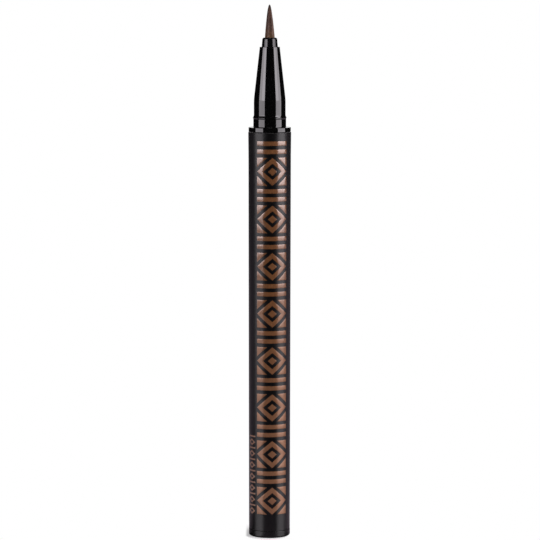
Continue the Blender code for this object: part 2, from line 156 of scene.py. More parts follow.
def seatPiece(piece, slotName, *nodes):
    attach(piece, penBody)
    if nodes:
        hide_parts(*nodes)


def startTree(name, sockets):
    # the inputs' names are listed by kind
    tree = bpy.data.node_groups.new(name, "GeometryNodeTree")
    tree.interface.new_socket("Geometry", in_out="INPUT", socket_type="NodeSocketGeometry")
    for kind, socketNames in sockets.items():
        for socketName in socketNames:
            tree.interface.new_socket(socketName, in_out="INPUT", socket_type="NodeSocket" + kind)
    tree.interface.new_socket("Geometry", in_out="OUTPUT", socket_type="NodeSocketGeometry")
    return tree, addNode(tree, "NodeGroupInput").outputs


def endTree(tree, geometry, finish):
    real = addNode(tree, "GeometryNodeRealizeInstances", inputs={0: geometry})
    painted = addNode(tree, "GeometryNodeSetMaterial", inputs={
        "Geometry": real.outputs[0], "Material": finish})
    addNode(tree, "NodeGroupOutput", inputs={0: painted.outputs[0]})
    return tree


def grownPiece(name, baseMesh, tree, values, finish):
    # runs a Geometry Nodes tree on a mesh and keeps the result as a plain mesh
    holder = addObject(name + "_source", baseMesh)
    modifier = holder.modifiers.new("grow", "NODES")
    modifier.node_group = tree
    values = values | {"Finish": finish}
    for item in tree.interface.items_tree:
        if item.item_type == "SOCKET" and item.in_out == "INPUT" and item.name in values:
            modifier[item.identifier] = values[item.name]
    evaluated = holder.evaluated_get(bpy.context.evaluated_depsgraph_get())
    mesh = bpy.data.meshes.new_from_object(evaluated)
    mesh.name = name
    holder.modifiers.remove(modifier)
    bpy.data.objects.remove(holder, do_unlink=True)
    return finishedPiece(name, mesh, finish)


# Materials; a roughness in brackets is the range that a pattern moves it in

def softTouchLacquer():
    # ABS tube sprayed with soft-touch lacquer: deep black that spreads a lamp into a broad grey glow
    material, tree, place = startMaterial("soft_touch_lacquer")
    look = {"black": "#040404", "worn": "#070607", "roughness": (0.29, 0.35), "sheen": 0.1,
            "sheen roughness": 0.3, "IOR": 1.46, "cloud mm": 9, "grain mm": 0.18, "grain depth mm": 0.004}
    cloud = addNode(tree, "ShaderNodeTexNoise", inputs={
        "Vector": place, "Scale": 1 / (look["cloud mm"] * mm), "Detail": 4.0, "Roughness": 0.6})
    tint = addNode(tree, "ShaderNodeMix", {"data_type": "RGBA"}, {
        "Factor": cloud.outputs["Fac"], 6: linearColour(look["black"]), 7: linearColour(look["worn"])})
    gloss = addNode(tree, "ShaderNodeMapRange", inputs={
        "Value": cloud.outputs["Fac"], "From Min": 0.3, "From Max": 0.7,
        "To Min": look["roughness"][0], "To Max": look["roughness"][1]})
    # the lacquer's powdery grain is about 0.03 mm, too fine to show, so it is drawn coarser
    grain = addNode(tree, "ShaderNodeTexNoise", inputs={
        "Vector": place, "Scale": 1 / (look["grain mm"] * mm), "Detail": 2.0})
    bump = addNode(tree, "ShaderNodeBump", inputs={
        "Strength": 0.25, "Distance": look["grain depth mm"] * mm, "Height": grain.outputs["Fac"]})
    return finishMaterial(material, {
        "Base Color": tint.outputs[2], "Roughness": gloss.outputs["Result"], "IOR": look["IOR"],
        "Normal": bump.outputs["Normal"], "Sheen Weight": look["sheen"],
        "Sheen Roughness": look["sheen roughness"]})


def mouldedAbs(name, look):
    # black ABS takes its gloss, and a faint relief, from the steel that it was moulded against
    material, tree, place = startMaterial(name)
    pressed = addNode(tree, "ShaderNodeMapping", inputs={
        "Vector": place, "Scale": (1, 1, look["flattening"])})
    relief = addNode(tree, "ShaderNodeTexNoise", inputs={
        "Vector": pressed.outputs["Vector"], "Scale": 1 / (look["relief mm"] * mm),
        "Detail": look["detail"]})
    bump = addNode(tree, "ShaderNodeBump", inputs={
        "Strength": look["relief"], "Distance": look["depth mm"] * mm, "Height": relief.outputs["Fac"]})
    gloss = addNode(tree, "ShaderNodeMapRange", inputs={
        "Value": relief.outputs["Fac"], "To Min": look["roughness"][0], "To Max": look["roughness"][1]})
    return finishMaterial(material, {
        "Base Color": linearColour(look["black"]), "Roughness": gloss.outputs["Result"], "IOR": look["IOR"],
        "Normal": bump.outputs["Normal"]})


def polishedAbs():
    # polished steel leaves it like black glass, with lamps mirrored as sharp-edged stripes
    return mouldedAbs("polished_abs", {
        "black": "#060606", "roughness": (0.036, 0.063), "IOR": 1.6, "relief mm": 3.5, "flattening": 1,
        "detail": 1.0, "relief": 0.12, "depth mm": 0.01})


def satinAbs():
    # lightly stoned steel leaves level marks that soften the stripes
    return mouldedAbs("satin_abs", {
        "black": "#080809", "roughness": (0.104, 0.156), "IOR": 1.46, "relief mm": 0.8, "flattening": 6,
        "detail": 3.0, "relief": 0.15, "depth mm": 0.003})


def bronzeFoil(name, changes):
    # hot-stamped foil: brown metal in a dyed lacquer, warm and dim until its clear coat mirrors a soft box;
    # towards the foot its colour is paler and warmer, which is painted light for how the lamps fall on the
    # lower barrel, and its coat is thin
    material, tree, place = startMaterial(name)
    look = {"foot": "#90664a", "mouth": "#724a2b", "foot metallic": 0.55, "mouth metallic": 0.25,
            "foot roughness": 0.48, "mouth roughness": 0.3, "foot coat": 0.27, "mouth coat": 0.79,
            "painted light to mm": 58, "thin coat to mm": 45, "full coat from mm": 90, "coat roughness": 0.11,
            "coat IOR": 1.8, "mottle mm": 1.4, "mottle": 0.16} | changes
    height = addNode(tree, "ShaderNodeSeparateXYZ", inputs={"Vector": place}).outputs["Z"]
    # painted light: this share runs from the paler foot look up to the mouth's, and stands in for the
    # lamps' fall lower down
    paintedLightShare = addNode(tree, "ShaderNodeMapRange", inputs={
        "Value": height, "From Min": 0.0, "From Max": look["painted light to mm"] * mm}).outputs["Result"]
    coated = addNode(tree, "ShaderNodeMapRange", {"interpolation_type": "SMOOTHSTEP"}, {
        "Value": height, "From Min": look["thin coat to mm"] * mm,
        "From Max": look["full coat from mm"] * mm}).outputs["Result"]
    mottle = addNode(tree, "ShaderNodeTexNoise", inputs={
        "Vector": place, "Scale": 1 / (look["mottle mm"] * mm), "Detail": 5.0})
    depth = addNode(tree, "ShaderNodeMapRange", inputs={
        "Value": mottle.outputs["Fac"], "To Min": 1 - look["mottle"], "To Max": 1 + look["mottle"]})
    body = addNode(tree, "ShaderNodeMix", {"data_type": "RGBA"}, {
        "Factor": paintedLightShare, 6: linearColour(look["foot"]), 7: linearColour(look["mouth"])})
    tint = addNode(tree, "ShaderNodeMix", {"data_type": "RGBA", "blend_type": "MULTIPLY"}, {
        "Factor": 1.0, 6: body.outputs[2], 7: depth.outputs["Result"]})
    qualities = {"Base Color": tint.outputs[2], "Coat Roughness": look["coat roughness"],
                 "Coat IOR": look["coat IOR"]}
    for quality, share, socket in (("metallic", paintedLightShare, "Metallic"), ("roughness", paintedLightShare, "Roughness"),
                                   ("coat", coated, "Coat Weight")):
        blend = addNode(tree, "ShaderNodeMapRange", inputs={
            "Value": share, "To Min": look["foot " + quality], "To Max": look["mouth " + quality]})
        qualities[socket] = blend.outputs["Result"]
    return finishMaterial(material, qualities)


def drawnFilament():
    # tapered polyester filament loaded with brown ink: lengthwise streaks, warmer at the root, and darkest
    # where the ink gathers at the tip; "mm" is how far below the tip a tint is full, and where it has gone
    material, tree, place = startMaterial("drawn_filament")
    look = {"brown": "#735344", "dark": "#3d2a25", "root": "#75552f", "root tint": 0.6,
            "root mm": (7.9, 5.6), "tip": "#33221b", "tip tint": 0.9, "tip mm": (0.2, 1.6),
            "roughness": 0.5, "specular": 0.3, "IOR": 1.57}
    tipHeight = cadBox("brush")[1].z
    strand = addNode(tree, "ShaderNodeAttribute", {"attribute_name": "strandTint"})
    streaks = addNode(tree, "ShaderNodeMix", {"data_type": "RGBA"}, {
        "Factor": strand.outputs["Fac"], 6: linearColour(look["dark"]), 7: linearColour(look["brown"])})
    colour = streaks.outputs[2]
    height = addNode(tree, "ShaderNodeSeparateXYZ", inputs={"Vector": place}).outputs["Z"]
    for end in ("root", "tip"):
        full, none = look[end + " mm"]
        share = addNode(tree, "ShaderNodeMapRange", inputs={
            "Value": height, "From Min": (tipHeight - full) * mm, "From Max": (tipHeight - none) * mm,
            "To Min": look[end + " tint"], "To Max": 0.0})
        colour = addNode(tree, "ShaderNodeMix", {"data_type": "RGBA"}, {
            "Factor": share.outputs["Result"], 6: colour, 7: linearColour(look[end])}).outputs[2]
    return finishMaterial(material, {
        "Base Color": colour, "Roughness": look["roughness"], "Specular IOR Level": look["specular"],
        "IOR": look["IOR"]})


def naturalAcetal():
    # unfilled acetal, injection moulded: milky white with faint flow clouds and a waxy gloss
    material, tree, place = startMaterial("natural_acetal")
    look = {"white": "#e9e8e1", "shade": "#dcdbd2", "roughness": (0.32, 0.41), "IOR": 1.48, "flow mm": 4}
    flow = addNode(tree, "ShaderNodeTexNoise", inputs={
        "Vector": place, "Scale": 1 / (look["flow mm"] * mm), "Detail": 3.0})
    tint = addNode(tree, "ShaderNodeMix", {"data_type": "RGBA"}, {
        "Factor": flow.outputs["Fac"], 6: linearColour(look["white"]), 7: linearColour(look["shade"])})
    gloss = addNode(tree, "ShaderNodeMapRange", inputs={
        "Value": flow.outputs["Fac"], "To Min": look["roughness"][0], "To Max": look["roughness"][1]})
    return finishMaterial(material, {
        "Base Color": tint.outputs[2], "Roughness": gloss.outputs["Result"], "IOR": look["IOR"]})


def fibreRod():
    # polyester fibres bonded along the rod and ground to size: ink-stained, dry and streaky
    material, tree, place = startMaterial("fibre_rod")
    look = {"fibre": "#b9a793", "stained": "#5b4233", "roughness": 0.9, "fibre mm": 0.12,
            "depth mm": 0.03, "stretch": 20}
    along = addNode(tree, "ShaderNodeMapping", inputs={
        "Vector": place, "Scale": (1, 1, 1 / look["stretch"])})
    fibres = addNode(tree, "ShaderNodeTexNoise", inputs={
        "Vector": along.outputs["Vector"], "Scale": 1 / (look["fibre mm"] * mm), "Detail": 3.0})
    tint = addNode(tree, "ShaderNodeMix", {"data_type": "RGBA"}, {
        "Factor": fibres.outputs["Fac"], 6: linearColour(look["stained"]), 7: linearColour(look["fibre"])})
    bump = addNode(tree, "ShaderNodeBump", inputs={
        "Strength": 0.6, "Distance": look["depth mm"] * mm, "Height": fibres.outputs["Fac"]})
    return finishMaterial(material, {
        "Base Color": tint.outputs[2], "Roughness": look["roughness"], "Normal": bump.outputs["Normal"]})


def nitrileRubber():
    # nitrile O-ring, compression moulded: dull near-black with a dusty bloom
    material, tree, place = startMaterial("nitrile_rubber")
    look = {"black": "#1b1b1c", "bloom": "#2c2c2d", "roughness": 0.62, "IOR": 1.52, "bloom mm": 0.8}
    bloom = addNode(tree, "ShaderNodeTexNoise", inputs={
        "Vector": place, "Scale": 1 / (look["bloom mm"] * mm), "Detail": 4.0})
    tint = addNode(tree, "ShaderNodeMix", {"data_type": "RGBA"}, {
        "Factor": bloom.outputs["Fac"], 6: linearColour(look["black"]), 7: linearColour(look["bloom"])})
    return finishMaterial(material, {
        "Base Color": tint.outputs[2], "Roughness": look["roughness"], "IOR": look["IOR"]})


def lappedSteel():
    # stainless ball, lapped: bright metal with hair-fine scratches that soften its mirror
    material, tree, place = startMaterial("lapped_steel")
    look = {"steel": "#c9c9cb", "roughness": (0.084, 0.192), "scratch mm": 0.3}
    scratches = addNode(tree, "ShaderNodeTexNoise", inputs={
        "Vector": place, "Scale": 1 / (look["scratch mm"] * mm), "Detail": 6.0, "Distortion": 1.5})
    gloss = addNode(tree, "ShaderNodeMapRange", inputs={
        "Value": scratches.outputs["Fac"], "To Min": look["roughness"][0], "To Max": look["roughness"][1]})
    return finishMaterial(material, {
        "Base Color": linearColour(look["steel"]), "Roughness": gloss.outputs["Result"], "Metallic": 1.0})


# Camera: a long lens a little above the pen, aimed at half its height

def setCamera():
    view = {"distance mm": 650, "height mm": 138, "aim mm": 65, "lens mm": 180.25, "sensor mm": 36,
            "shift": 0.0003, "lean degrees": -0.045, "near mm": 10, "far m": 20}
    camera = addObject("camera", bpy.data.cameras.new("camera"))
    camera.data.lens = view["lens mm"]
    camera.data.sensor_width = view["sensor mm"]
    camera.data.shift_x = view["shift"]
    camera.location = (0, -view["distance mm"] * mm, view["height mm"] * mm)
    tilt = atan2(view["height mm"] - view["aim mm"], view["distance mm"])
    camera.rotation_euler = (pi / 2 - tilt, radians(view["lean degrees"]), 0)
    camera.data.clip_start = view["near mm"] * mm
    camera.data.clip_end = view["far m"]
    bpy.context.scene.camera = camera
    print("camera: tilted down", round(degrees(tilt), 2), "degrees")


# Barrel and its plug

def barrelWall():
    # radius and height of the outside at the tail, where the mouth starts to swell, and at the mouth
    low, high = cadBox("barrel")
    tail = high.x - barrelForm["mouth swell"] - barrelForm["taper"]
    return ((tail, low.z), (tail + barrelForm["taper"], high.z - barrelForm["swell length"]),
            (high.x, high.z))


def makeBarrel(finish):
    size = {"wall at tail": 0.98, "swell blend": 60, "edge rounding": 0.07, "lead-in": 0.25,
            "closing": 0.07, "segments": 144}
    (tail, low), (body, swellStart), (mouth, high) = barrelWall()
    low -= size["closing"]  # nearly shuts the seam above the plug, which hardly shows
    bore = tail - size["wall at tail"]
    corners = [
        (bore + size["lead-in"], low),
        (tail, low, size["edge rounding"]),
        (body, swellStart, size["swell blend"]),
        (mouth, high, size["edge rounding"]),
        (bore + size["lead-in"], high, size["edge rounding"] / 2),
        (bore, high - size["lead-in"]),
        (bore, low + size["lead-in"]),
    ]
    piece = turnedPiece("lacquered_barrel", corners, size["segments"], finish)
    seatPiece(piece, "soft_touch_black", "barrel")


def makeTailPlug(finish):
    size = {"head height": 1.65, "spigot relief": 0.22, "wall": 0.8, "floor": 2.2, "dish": 0.5, "ribs": 2,
            "rib width": 0.6, "rib pitch": 1.7, "first rib": 1.4, "foot rounding": 0.38,
            "edge rounding": 0.12, "segments": 144}
    high = cadBox("tail_plug")[1]
    spigot = cadBox("collector")[1].x
    body = spigot - size["spigot relief"]
    cup = body - size["wall"]
    corners = [(0, 0), (high.x, 0, size["foot rounding"]),
               (high.x, size["head height"], size["edge rounding"]), (body, size["head height"])]
    third = size["rib width"] / 3
    for rib in range(size["ribs"]):
        start = size["head height"] + size["first rib"] + rib * size["rib pitch"]
        corners += [(body, start), (spigot, start + third, third), (spigot, start + third * 2, third),
                    (body, start + size["rib width"])]
    corners += [(body, high.z, size["edge rounding"]), (cup, high.z, size["edge rounding"]),
                (cup, size["floor"]), (0, size["floor"] - size["dish"])]
    piece = turnedPiece("foot_plug", corners, size["segments"], finish)
    seatPiece(piece, "soft_touch_black", "tail_plug")


# Gloss nose: spigot, flange, cap seat, snap bead, neck and cone

def makeNose(finish):
    size = {"spigot": 7.4, "spigot lead-in": 0.3, "spigot rounding": 0.1, "seal depth": 2.0,
            "groove width": 0.9, "groove depth": 0.75, "flange height": 1.1, "flange rounding": 0.1,
            "seat": 3.95, "seat root": 0.2, "seat rounding": 0.3, "bead height": 2.28, "bead rise": 0.12,
            "bead rounding": 0.22, "lower flank": 0.28, "upper flank": 0.5, "neck step": 0.125,
            "neck rounding": 0.8, "neck length": 6.6, "neck blend": 16, "mouth radius": 2.4,
            "mouth rounding": 0.1, "bore rounding": 0.03, "holder seat": 9.3, "segments": 144,
            "arc steps": 8}
    low, high = cadBox("front_section")
    spigot = cadBox("collector")[1].x
    cavity = cadBox("brush_retainer")[1].x + slip
    holderBore = collarRadius + slip
    foot = low.z + size["spigot"]
    flangeTop = foot + size["flange height"]
    crest = flangeTop + size["bead height"]
    neck = size["seat"] - size["neck step"]
    grooveFloor = spigot - size["groove depth"]
    grooveLow = foot - size["seal depth"] - size["groove width"] / 2
    shoulder = high.z - size["holder seat"]
    corners = [
        (cavity, low.z),
        (spigot - size["spigot lead-in"], low.z, size["spigot rounding"]),
        (spigot, low.z + size["spigot lead-in"], size["spigot rounding"]),
        (spigot, grooveLow),
        (grooveFloor, grooveLow),
        (grooveFloor, grooveLow + size["groove width"]),
        (spigot, grooveLow + size["groove width"]),
        (spigot, foot),
        (high.x, foot, size["flange rounding"]),
        (high.x, flangeTop, size["flange rounding"]),
        (size["seat"], flangeTop, size["seat root"]),
        (size["seat"], crest - size["lower flank"], size["seat rounding"]),
        (size["seat"] + size["bead rise"], crest, size["bead rounding"]),
        (neck, crest + size["upper flank"], size["neck rounding"]),
        (neck, flangeTop + size["neck length"], size["neck blend"]),
        (size["mouth radius"], high.z, size["mouth rounding"]),
        (holderBore, high.z, size["bore rounding"]),
        (holderBore, shoulder),
        (cavity, shoulder),
    ]
    piece = turnedPiece("gloss_nose", corners, size["segments"], finish, size["arc steps"])
    seatPiece(piece, "gloss_black", "front_section")


def makeTipHolder(finish):
    size = {"taper": 0.16, "protrusion": 2.2, "flange height": 1.2, "step depth": 4.1, "tip drop": 0.26,
            "tip rounding": 0.42, "lead-in": 0.1, "segments": 96, "arc steps": 8}
    low, high = cadBox("tip_holder")
    counterbore = cadBox("brush")[1].x + slip
    brushBore = counterbore - brushFlangeWidth
    seat = low.z + size["flange height"]
    step = high.z - size["step depth"]
    tip = collarRadius - size["taper"]
    corners = [
        (counterbore, low.z),
        (high.x, low.z, size["lead-in"]),
        (high.x, seat, size["lead-in"]),
        (collarRadius, seat),
        (collarRadius, high.z - size["protrusion"]),
        (tip, high.z - size["tip drop"], size["tip rounding"]),
        (tip - size["tip drop"], high.z, size["tip rounding"]),
        (brushBore, high.z, size["lead-in"]),
        (brushBore, step),
        (counterbore, step),
    ]
    piece = turnedPiece("brush_collar", corners, size["segments"], finish, size["arc steps"])
    seatPiece(piece, "satin_black", "tip_holder")


# Foil: an ornament of bars and lozenges, drawn flat, repeated up the barrel and wrapped round it

def insetOutline(outline, distance):
    # a convex outline, counter-clockwise, with every side moved inwards, or outwards by a negative distance
    points = [Vector(point) for point in outline]
    moved = []
    for here, point in enumerate(points):
        before = (point - points[here - 1]).normalized()
        after = (points[(here + 1) % len(points)] - point).normalized()
        inwards = Vector((-before.y, before.x)) + Vector((-after.y, after.x))
        moved.append(point + inwards * distance / (1 + before.dot(after)))
    return moved


def stamp(shape, outline, foil, hole=None):
    # a closed plate with softly sloped sides, from just under the lacquer to just above it
    slope, crown = foil["slope"], foil["slope"] + foil["crown"]
    levels = [(0, -foil["sunk"]), (slope, foil["proud"]), (crown, foil["proud"] + foil["crown rise"])]
    rings = [(insetOutline(outline, inset), lift) for inset, lift in levels]
    if hole:
        rings += [(insetOutline(hole, -inset), lift) for inset, lift in reversed(levels)]
    loops = [[shape.verts.new((point.x * mm, -lift * mm, point.y * mm)) for point in ring]
             for ring, lift in rings]
    pairs = list(zip(loops, loops[1:])) + ([(loops[-1], loops[0])] if hole else [])
    for lower, upper in pairs:
        for here in range(len(lower)):
            shape.faces.new((lower[here - 1], lower[here], upper[here], upper[here - 1]))
    if not hole:
        shape.faces.new(loops[-1])
        shape.faces.new(list(reversed(loops[0])))


def lozenge(middle, halfWidth, halfHeight):
    return [(-halfWidth, middle), (0, middle - halfHeight), (halfWidth, middle), (0, middle + halfHeight)]


def cornerTriangles(low, high, halfWidth, share):
    # one triangle in each corner of a box; each leg is a share of half the box
    middle = (low + high) / 2
    for side in (-1, 1):
        for level in (low, high):
            corner = Vector((side * halfWidth, level))
            along = corner + Vector((-side * halfWidth * share, 0))
            up = corner + Vector((0, (middle - level) * share))
            turn = (along - corner).cross(up - corner)
            yield [corner, along, up] if turn > 0 else [corner, up, along]


def foilMotif(foil):
    # from the bottom: a lozenge ring in a box, with filled corners and a solid core if they are asked for,
    # then the bars; all is cut into upright strips, so that it can bend round the barrel
    shape = bmesh.new()
    halfWidth, high, stroke = foil["half width"], foil["lozenge height"], foil["stroke"]
    ring = lozenge(high / 2, halfWidth, high / 2)
    hole = insetOutline(ring, stroke)
    stamp(shape, ring, foil, hole)
    if foil["core inset"]:
        stamp(shape, insetOutline(hole, foil["core inset"]), foil)
    if foil["corner share"]:
        for triangle in cornerTriangles(0, high, halfWidth, foil["corner share"]):
            stamp(shape, triangle, foil)
    for barIndex in range(foil["bars"]):
        low = high + foil["gap"] + barIndex * (stroke + foil["gap"])
        top = low + stroke
        stamp(shape, [(-halfWidth, low), (halfWidth, low), (halfWidth, top), (-halfWidth, top)], foil)
    steps = int(halfWidth / foil["strip"])
    for step in range(-steps, steps + 1):
        everything = shape.verts[:] + shape.edges[:] + shape.faces[:]
        bmesh.ops.bisect_plane(shape, geom=everything, dist=0.0001 * mm,
                               plane_co=(step * foil["strip"] * mm, 0, 0), plane_no=(1, 0, 0))
    bmesh.ops.recalc_face_normals(shape, faces=shape.faces)
    return meshFrom(shape, "foil_motif")


def wrapTree():
    # repeats the flat motif upwards, then rolls it round the axis at the barrel's own radius
    tree, given = startTree("wrapped_foil", {
        "Int": ["Count"], "Material": ["Finish"],
        "Float": ["Pitch", "First Height", "Bearing", "Tail Height", "Tail Radius", "Swell Height",
                  "Swell Radius", "Mouth Height", "Mouth Radius"]})
    rise = addNode(tree, "ShaderNodeCombineXYZ", inputs={"Z": given["Pitch"]})
    first = addNode(tree, "ShaderNodeCombineXYZ", inputs={"Z": given["First Height"]})
    places = addNode(tree, "GeometryNodeMeshLine", inputs={
        "Count": given["Count"], "Start Location": first.outputs[0], "Offset": rise.outputs[0]})
    repeated = addNode(tree, "GeometryNodeInstanceOnPoints", inputs={
        "Points": places.outputs[0], "Instance": given["Geometry"]})
    flat = addNode(tree, "GeometryNodeRealizeInstances", inputs={0: repeated.outputs[0]})
    position = addNode(tree, "GeometryNodeInputPosition").outputs[0]
    parts = addNode(tree, "ShaderNodeSeparateXYZ", inputs={0: position}).outputs
    tube, swell = [addNode(tree, "ShaderNodeMapRange", {"clamp": False}, {
        "Value": parts["Z"], "From Min": given[start + " Height"], "From Max": given[end + " Height"],
        "To Min": given[start + " Radius"], "To Max": given[end + " Radius"]}).outputs["Result"]
        for start, end in (("Tail", "Swell"), ("Swell", "Mouth"))]
    surface = addNode(tree, "ShaderNodeMath", {"operation": "MAXIMUM"}, {0: tube, 1: swell}).outputs[0]
    front = addNode(tree, "ShaderNodeMath", {"operation": "SUBTRACT"}, {0: parts["Y"], 1: surface})
    share = addNode(tree, "ShaderNodeMath", {"operation": "DIVIDE"}, {0: parts["X"], 1: surface})
    angle = addNode(tree, "ShaderNodeMath", {"operation": "ADD"}, {
        0: share.outputs[0], 1: given["Bearing"]})
    standing = addNode(tree, "ShaderNodeCombineXYZ", inputs={"Y": front.outputs[0], "Z": parts["Z"]})
    turned = addNode(tree, "ShaderNodeVectorRotate", {"rotation_type": "Z_AXIS"}, {
        "Vector": standing.outputs[0], "Angle": angle.outputs[0]})
    rolled = addNode(tree, "GeometryNodeSetPosition", inputs={
        "Geometry": flat.outputs[0], "Position": turned.outputs[0]})
    return endTree(tree, rolled.outputs[0], given["Finish"])


def makeFoil(bandFinish, rowFinish):
    # mm, and bearings in degrees from the front
    band = {"name": "foil_band", "repeats": 8, "low": 5.79, "high": 96.4, "bearing": 7.5,
            "half width": 3.95, "lozenge height": 6.8, "stroke": 1.15, "core inset": 0.65,
            "corner share": 0.72, "bars": 2, "gap": 0.8, "slope": 0.16, "crown": 0.14, "proud": 0.0195,
            "crown rise": 0.0045}
    row = {"name": "foil_row", "repeats": 7, "low": 5.55, "high": 25.0, "bearing": -58.3,
           "half width": 1.3, "lozenge height": 1.8, "stroke": 0.42, "core inset": 0,
           "corner share": 0, "bars": 1, "gap": 0.3, "slope": 0.07, "crown": 0.05, "proud": 0.012,
           "crown rise": 0.003}
    shared = {"sunk": 0.008, "strip": 0.35}
    wall = {}
    for name, (radius, height) in zip(("Tail", "Swell", "Mouth"), barrelWall()):
        wall |= {name + " Radius": radius * mm, name + " Height": height * mm}
    tree = wrapTree()
    for foil, finish in ((band, bandFinish), (row, rowFinish)):
        pitch = (foil["high"] - foil["low"] + foil["gap"]) / foil["repeats"]
        values = wall | {"Count": foil["repeats"], "Pitch": pitch * mm, "First Height": foil["low"] * mm,
                         "Bearing": radians(foil["bearing"])}
        piece = grownPiece(foil["name"], foilMotif(foil | shared), tree, values, finish)
        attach(piece, penBody)


# Brush: tapered filaments that lean into a point, from a rule

def filamentTree():
    # lengths are in metres; the area share is 0 on the axis and 1 at the rim, so the filaments stand evenly
    rule = {"golden angle": pi * (3 - 5 ** 0.5), "clump low": 0.4, "clump high": 0.6, "own tint": 0.15,
            "rings": 10, "sides": 5, "nearest to tip": 0.0005, "taper from": 0.3}
    tree, given = startTree("filaments", {
        "Int": ["Count", "Seed"], "Material": ["Finish"],
        "Float": ["Root Radius", "Length", "Base Height", "Filament Radius", "Filament Tip", "Trim",
                  "Pointedness", "Scatter", "Clump Size", "Lean"]})

    # roots, turned by the golden angle from one to the next
    index = addNode(tree, "GeometryNodeInputIndex").outputs[0]
    areaShare = addNode(tree, "ShaderNodeMath", {"operation": "DIVIDE"}, {0: index, 1: given["Count"]})
    rank = addNode(tree, "ShaderNodeMath", {"operation": "SQRT"}, {0: areaShare.outputs[0]})
    reach = addNode(tree, "ShaderNodeMath", {"operation": "MULTIPLY"}, {
        0: rank.outputs[0], 1: given["Root Radius"]})
    outward = addNode(tree, "ShaderNodeCombineXYZ", inputs={"X": reach.outputs[0]})
    turn = addNode(tree, "ShaderNodeMath", {"operation": "MULTIPLY"}, {0: index, 1: rule["golden angle"]})
    spot = addNode(tree, "ShaderNodeVectorRotate", {"rotation_type": "Z_AXIS"}, {
        "Vector": outward.outputs[0], "Angle": turn.outputs[0]})
    points = addNode(tree, "GeometryNodePoints", inputs={
        "Count": given["Count"], "Position": spot.outputs[0]})

    # tint: filaments stick together in clumps, some darker and some lighter, and each differs a little;
    # with the seed given, the darker clumps fall on the brush's left side
    fineness = addNode(tree, "ShaderNodeMath", {"operation": "DIVIDE"}, {0: 1.0, 1: given["Clump Size"]})
    clumps = addNode(tree, "ShaderNodeTexNoise", {"noise_dimensions": "4D"}, {
        "Vector": spot.outputs[0], "W": given["Seed"], "Scale": fineness.outputs[0], "Detail": 1.0})
    clumpTint = addNode(tree, "ShaderNodeMapRange", inputs={
        "Value": clumps.outputs["Fac"], "From Min": rule["clump low"], "From Max": rule["clump high"]})
    chance = addNode(tree, "FunctionNodeRandomValue", {"data_type": "FLOAT"}, {
        2: 0.0, 3: 1.0, "Seed": given["Seed"]})
    tint = addNode(tree, "ShaderNodeMix", {"data_type": "FLOAT"}, {
        0: rule["own tint"], 2: clumpTint.outputs["Result"], 3: chance.outputs[1]})
    marked = points.outputs[0]
    onPoints = {"data_type": "FLOAT", "domain": "POINT"}
    for name, value in (("areaShare", areaShare), ("strandTint", tint)):
        marked = addNode(tree, "GeometryNodeStoreNamedAttribute", onPoints, {
            "Geometry": marked, "Name": name, "Value": value.outputs[0]}).outputs[0]

    # a straight strand of height 1 on each root
    line = addNode(tree, "GeometryNodeCurvePrimitiveLine", inputs={"Start": (0, 0, 0), "End": (0, 0, 1)})
    steps = addNode(tree, "GeometryNodeResampleCurve", inputs={
        "Curve": line.outputs[0], "Count": rule["rings"]})
    planted = addNode(tree, "GeometryNodeInstanceOnPoints", inputs={
        "Points": marked, "Instance": steps.outputs[0]})
    strands = addNode(tree, "GeometryNodeRealizeInstances", inputs={0: planted.outputs[0]})

    # height: the rim is trimmed shorter, and the ends are a little uneven
    shareHere, tintHere = [addNode(tree, "GeometryNodeInputNamedAttribute", {"data_type": "FLOAT"}, {
        "Name": name}).outputs[0] for name in ("areaShare", "strandTint")]
    position = addNode(tree, "GeometryNodeInputPosition").outputs[0]
    parts = addNode(tree, "ShaderNodeSeparateXYZ", inputs={0: position}).outputs
    trimmed = addNode(tree, "ShaderNodeMath", {"operation": "MULTIPLY"}, {0: shareHere, 1: given["Trim"]})
    missing = addNode(tree, "ShaderNodeMath", {"operation": "MULTIPLY_ADD"}, {
        0: tintHere, 1: given["Scatter"], 2: trimmed.outputs[0]})
    ending = addNode(tree, "ShaderNodeMath", {"operation": "SUBTRACT"}, {0: 1.0, 1: missing.outputs[0]})
    height = addNode(tree, "ShaderNodeMath", {"operation": "MULTIPLY"}, {
        0: parts["Z"], 1: ending.outputs[0]})

    # closing: a power of the way left to the tip; the few that reach near it spread over the whole width
    left = addNode(tree, "ShaderNodeMath", {"operation": "SUBTRACT"}, {0: 1.0, 1: height.outputs[0]})
    fromTip = addNode(tree, "ShaderNodeMath", {"operation": "MAXIMUM"}, {
        0: left.outputs[0], 1: rule["nearest to tip"]})
    shoulder = addNode(tree, "ShaderNodeMath", {"operation": "POWER"}, {
        0: fromTip.outputs[0], 1: given["Pointedness"]})
    standing = addNode(tree, "ShaderNodeMath", {"operation": "DIVIDE"}, {
        0: given["Trim"], 1: fromTip.outputs[0]})
    spread = addNode(tree, "ShaderNodeMath", {"operation": "SQRT"}, {0: standing.outputs[0]})
    widened = addNode(tree, "ShaderNodeMath", {"operation": "MAXIMUM"}, {0: spread.outputs[0], 1: 1.0})
    closing = addNode(tree, "ShaderNodeMath", {"operation": "MULTIPLY"}, {
        0: shoulder.outputs[0], 1: widened.outputs[0]})

    # thickness: each filament tapers by itself and thins as the tuft closes
    taper = addNode(tree, "ShaderNodeMapRange", {"interpolation_type": "SMOOTHSTEP"}, {
        "Value": parts["Z"], "From Min": rule["taper from"], "To Min": 1.0,
        "To Max": given["Filament Tip"]})
    tapered = addNode(tree, "ShaderNodeMath", {"operation": "MULTIPLY"}, {
        0: given["Filament Radius"], 1: taper.outputs["Result"]})
    thickness = addNode(tree, "ShaderNodeMath", {"operation": "MULTIPLY"}, {
        0: tapered.outputs[0], 1: closing.outputs[0]})
    thick = addNode(tree, "GeometryNodeSetCurveRadius", inputs={
        "Curve": strands.outputs[0], "Radius": thickness.outputs[0]})

